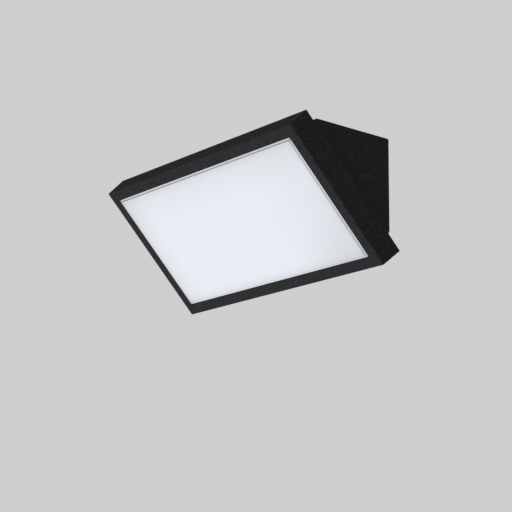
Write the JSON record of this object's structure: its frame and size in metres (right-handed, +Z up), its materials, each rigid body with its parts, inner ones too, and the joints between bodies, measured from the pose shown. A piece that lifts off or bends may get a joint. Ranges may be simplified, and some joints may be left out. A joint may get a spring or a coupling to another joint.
{
  "type": "wall pack light",
  "caption": "Wedge-shaped LED wall pack light: a black cast housing and frame, a leaning opal window that faces down, and a hook-on wall bracket.",
  "frame": {"origin": "centre of the wall bracket's screw pattern, on the wall", "axes": "+X along the light's width, to the right seen from in front; +Y into the wall; +Z up"},
  "size_m": [0.3016, 0.1078, 0.118],
  "materials": {
    "black_powder_coat": "fine textured powder coat on die-cast aluminium",
    "opal_window": "opal polycarbonate, lit from behind",
    "zinc_steel": "zinc plated, satin",
    "black_screws": "black zinc",
    "silicone": "soft matt silicone",
    "black_rubber": "matt rubber",
    "foam": "closed-cell foam",
    "white_reflector": "gloss white paint",
    "aluminium_sheet": "mill finish",
    "white_board": "white solder mask",
    "led_chip": "phosphor in a white body",
    "white_plastic": "moulded nylon",
    "grey_plastic": "moulded nylon",
    "orange_plastic": "moulded nylon",
    "green_board": "green solder mask",
    "dark_plastic": "moulded parts",
    "copper": "bare copper",
    "tin": "tinned copper",
    "brown_sheath": "PVC",
    "blue_sheath": "PVC",
    "green_yellow_sheath": "PVC",
    "red_sheath": "PVC",
    "black_sheath": "PVC"
  },
  "bodies": {
    "bracket": {"wall_bracket": "zinc_steel"},
    "light": {"housing": "black_powder_coat", "front_frame": "black_powder_coat", "frame_screws": "black_screws", "diffuser": "opal_window", "diffuser_seal": "silicone", "wall_gasket": "foam", "lock_screws": "black_screws", "lock_screw_washers": "black_rubber", "reflector": "white_reflector", "led_tray": "aluminium_sheet", "led_tray_screws": "zinc_steel", "led_board_bottom": "white_board", "led_board_middle": "white_board", "led_board_top": "white_board", "led_chips": "led_chip", "led_board_screws": "zinc_steel", "led_board_links": "white_plastic", "led_board_connector": "white_plastic", "driver_case": "white_plastic", "driver_lid": "white_plastic", "driver_board": "green_board", "driver_parts": "dark_plastic", "driver_screws": "zinc_steel", "terminal_block": "grey_plastic", "terminal_contacts": "copper", "terminal_screws": "zinc_steel", "cable_grommet": "black_rubber", "cable_clamp": "grey_plastic", "cable_clamp_screws": "zinc_steel", "vent_plug": "dark_plastic", "vent_seal": "silicone", "vent_nut": "dark_plastic", "earth_washer": "zinc_steel", "earth_tag": "tin", "earth_screw": "zinc_steel", "live_lead": "brown_sheath", "neutral_lead": "blue_sheath", "earth_lead": "green_yellow_sheath", "led_plus_lead": "red_sheath", "led_minus_lead": "black_sheath"},
    "live_lever": {"clamp_lever_live": "orange_plastic"},
    "neutral_lever": {"clamp_lever_neutral": "orange_plastic"},
    "earth_lever": {"clamp_lever_earth": "orange_plastic"}
  },
  "joints": [
    {"name": "light_lift", "type": "slide", "parent": "bracket", "child": "light", "axis": [0, 0, 1], "range_m": [0, 0.0085]},
    {"name": "live_lever_swing", "type": "hinge", "parent": "light", "child": "live_lever", "pos_m": [0.038, -0.0279, 0.02], "axis": [-1, 0, 0], "range_deg": [0, 85]},
    {"name": "neutral_lever_swing", "type": "hinge", "parent": "light", "child": "neutral_lever", "pos_m": [0.05, -0.0279, 0.02], "axis": [-1, 0, 0], "range_deg": [0, 85]},
    {"name": "earth_lever_swing", "type": "hinge", "parent": "light", "child": "earth_lever", "pos_m": [0.062, -0.0279, 0.02], "axis": [-1, 0, 0], "range_deg": [0, 85]}
  ]
}
